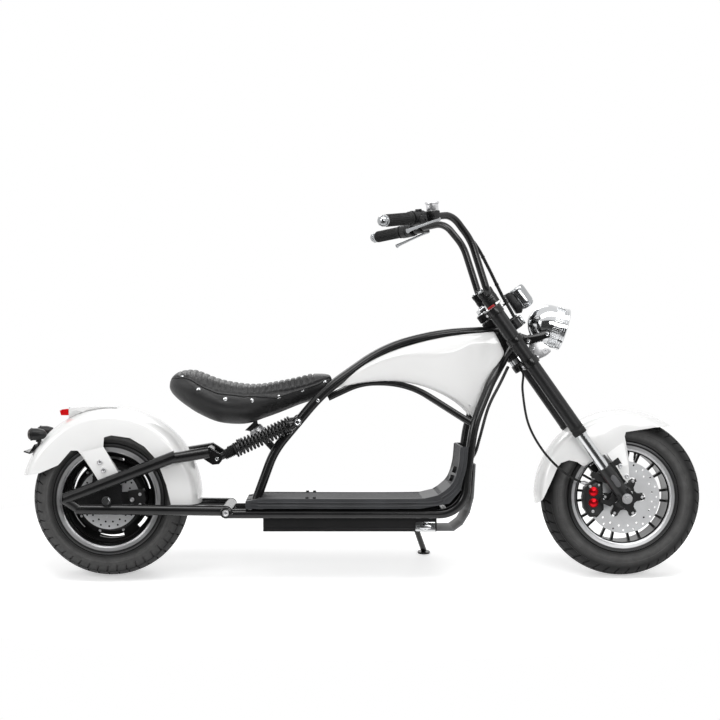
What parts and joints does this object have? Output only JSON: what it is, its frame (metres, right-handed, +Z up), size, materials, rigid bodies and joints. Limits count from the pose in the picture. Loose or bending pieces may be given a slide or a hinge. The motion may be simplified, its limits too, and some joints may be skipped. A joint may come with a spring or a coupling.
{
  "type": "electric chopper scooter",
  "caption": "Electric chopper scooter with white fenders and tank covers, a black leather saddle and tall handlebars, leaning on its side stand.",
  "frame": {"origin": "on the ground, under the middle of the bounding box of the parked scooter", "axes": "+X forward, +Y to the rider's left, towards which it leans, +Z up"},
  "size_m": [2.0736, 0.7438, 1.1509],
  "materials": {
    "black_cast": "satin black cast aluminium",
    "black_paint": "gloss black paint over steel",
    "black_plastic": "satin black moulding",
    "black_rubber": "black rubber",
    "chrome": "polished chrome",
    "disc_steel": "ground steel",
    "grey_deck": "satin grey moulding",
    "leather": "black upholstery leather",
    "lens_glass": "clear lamp glass",
    "red_cap": "anodised red",
    "red_lens": "red lamp lens",
    "tyre": "black tyre rubber",
    "white_panel": "gloss white moulded panels"
  },
  "bodies": {
    "frame": {"neck": "black_paint", "spine_tubes": "black_paint", "tank_rails": "black_paint", "cradle_tubes": "black_paint", "crossmembers": "black_paint", "tank_covers": "white_panel", "deck_cover": "grey_deck", "battery_box": "black_plastic", "battery_latch": "chrome", "front_guard": "grey_deck", "deck_caps": "black_plastic", "seat": "leather", "seat_hinge": "chrome", "seat_damper": "chrome", "swingarm": "black_paint", "shock_bodies": "black_paint", "shock_springs": "black_paint", "rear_fender": "white_panel", "tail_light": "red_lens", "rear_indicators": "black_plastic", "plate_bracket": "black_paint", "rear_axle": "chrome", "rear_caliper": "black_cast", "frame_loom": "black_rubber"},
    "rear_wheel": {"rear_tyre": "tyre", "rear_rim": "black_cast", "rear_rim_lips": "chrome", "rear_disc": "disc_steel"},
    "steering": {"fork_clamps": "black_paint", "head_bearings": "chrome", "risers": "chrome", "handlebar": "black_paint", "grips": "black_rubber", "bar_controls": "black_plastic", "master_cylinders": "chrome", "levers": "chrome", "fork_outers": "black_paint", "fork_sliders": "chrome", "fork_lowers": "black_cast", "front_axle": "chrome", "front_fender": "white_panel", "front_calipers": "black_cast", "caliper_caps": "red_cap", "brake_hose": "black_rubber", "bar_loom": "black_rubber", "speedometer": "chrome", "headlight_shell": "chrome", "headlight_lens": "lens_glass", "headlight_mount": "black_paint", "horn": "chrome"},
    "front_wheel": {"front_tyre": "tyre", "front_rim": "black_cast", "front_rim_lips": "chrome", "front_disc": "disc_steel"},
    "side_stand": {"side_stand": "black_paint"}
  },
  "joints": [
    {"name": "rear_wheel_spin", "type": "hinge", "parent": "frame", "child": "rear_wheel", "pos_m": [-0.7687, -0.1145, 0.23764], "axis": [0, 0.9903, -0.1392], "continuous": true},
    {"name": "steering_turn", "type": "hinge", "parent": "frame", "child": "steering", "pos_m": [0.43277, -0.04711, 0.71718], "axis": [-0.5736, 0.114, 0.8112], "range_deg": [-30, 30]},
    {"name": "front_wheel_spin", "type": "hinge", "parent": "steering", "child": "front_wheel", "pos_m": [0.7933, -0.11391, 0.24183], "axis": [0, 0.9903, -0.1392], "continuous": true},
    {"name": "side_stand_fold", "type": "hinge", "parent": "frame", "child": "side_stand", "pos_m": [0.1613, 0.01471, 0.1367], "axis": [0, 0.7807, 0.6249], "range_deg": [0, 95]}
  ]
}
